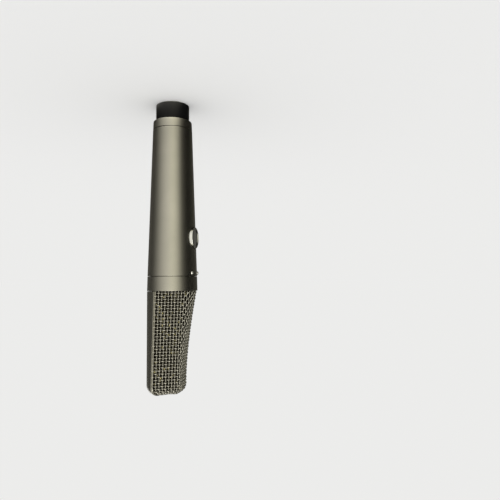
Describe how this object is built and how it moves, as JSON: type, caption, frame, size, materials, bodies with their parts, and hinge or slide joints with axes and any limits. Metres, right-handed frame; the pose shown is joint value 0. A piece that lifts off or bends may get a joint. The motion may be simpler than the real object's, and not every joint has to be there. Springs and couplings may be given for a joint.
{
  "type": "ribbon microphone",
  "caption": "Long side-address ribbon microphone: conical metal body, black connector collar, and a sloping woven grille head with a solid spine.",
  "frame": {"origin": "centre of the connector end, at the bottom of the bounding box", "axes": "+Z along the body towards the head, -Y is the front with the badge, +Y is the spine of the head"},
  "size_m": [0.041, 0.041, 0.2386],
  "materials": {
    "satin_gunmetal": "satin metallic gunmetal paint",
    "satin_black": "satin black",
    "woven_wire": "woven wire, grey",
    "brass_screen": "fine woven mesh, dull brass",
    "chrome": "polished chrome",
    "insulator": "moulded black plastic",
    "gold_plate": "gold plated",
    "machined_aluminium": "machined",
    "steel": "plated steel",
    "magnet": "nickel plated magnet",
    "copper": "enamelled copper wire",
    "circuit_board": "green solder mask",
    "soft_rubber": "soft black rubber",
    "brass": "bright brass",
    "foil": "bright corrugated foil",
    "lead_black": "black insulation",
    "lead_red": "red insulation",
    "lead_white": "white insulation"
  },
  "bodies": {
    "case": {"body_shell": "satin_gunmetal", "base_ring": "satin_gunmetal", "head_ring": "satin_gunmetal", "head_frame": "satin_gunmetal", "base_collar": "satin_black", "front_grille": "woven_wire", "rear_grille": "woven_wire", "front_screen": "brass_screen", "rear_screen": "brass_screen", "badge": "chrome", "case_screw_1": "chrome", "case_screw_2": "chrome", "xlr_insert": "insulator", "clamp_block_lower": "insulator", "clamp_block_upper": "insulator", "xlr_pin_1": "gold_plate", "xlr_pin_2": "gold_plate", "xlr_pin_3": "gold_plate", "base_bulkhead": "machined_aluminium", "head_bulkhead": "machined_aluminium", "rail_left": "machined_aluminium", "rail_right": "machined_aluminium", "transformer_shelf": "machined_aluminium", "insert_set_screw": "steel", "rail_screw_1": "steel", "rail_screw_2": "steel", "rail_screw_3": "steel", "rail_screw_4": "steel", "shelf_screw_left": "steel", "shelf_screw_right": "steel", "board_screw_left": "steel", "board_screw_right": "steel", "motor_screw_1": "steel", "motor_screw_2": "steel", "clamp_screw_1": "steel", "clamp_screw_2": "steel", "clamp_screw_3": "steel", "clamp_screw_4": "steel", "pole_left": "steel", "pole_right": "steel", "motor_frame": "steel", "transformer_can": "steel", "transformer_core": "steel", "magnet_left_lower": "magnet", "magnet_left_upper": "magnet", "magnet_right_lower": "magnet", "magnet_right_upper": "magnet", "transformer_coil": "copper", "terminal_board": "circuit_board", "isolation_pad": "soft_rubber", "clamp_bar_lower": "brass", "clamp_bar_upper": "brass", "ribbon_lead_1": "lead_black", "transformer_lead_1": "lead_black", "output_lead_1": "lead_black", "ribbon_lead_2": "lead_red", "transformer_lead_2": "lead_red", "output_lead_2": "lead_red", "output_lead_3": "lead_white"},
    "ribbon_foil": {"ribbon": "foil"}
  },
  "joints": [
    {"name": "ribbon_swing", "type": "slide", "parent": "case", "child": "ribbon_foil", "axis": [0, 1, 0], "range_m": [-0.0005, 0.0005], "stiffness_N_per_m": 5, "deforming": ["ribbon"]}
  ]
}
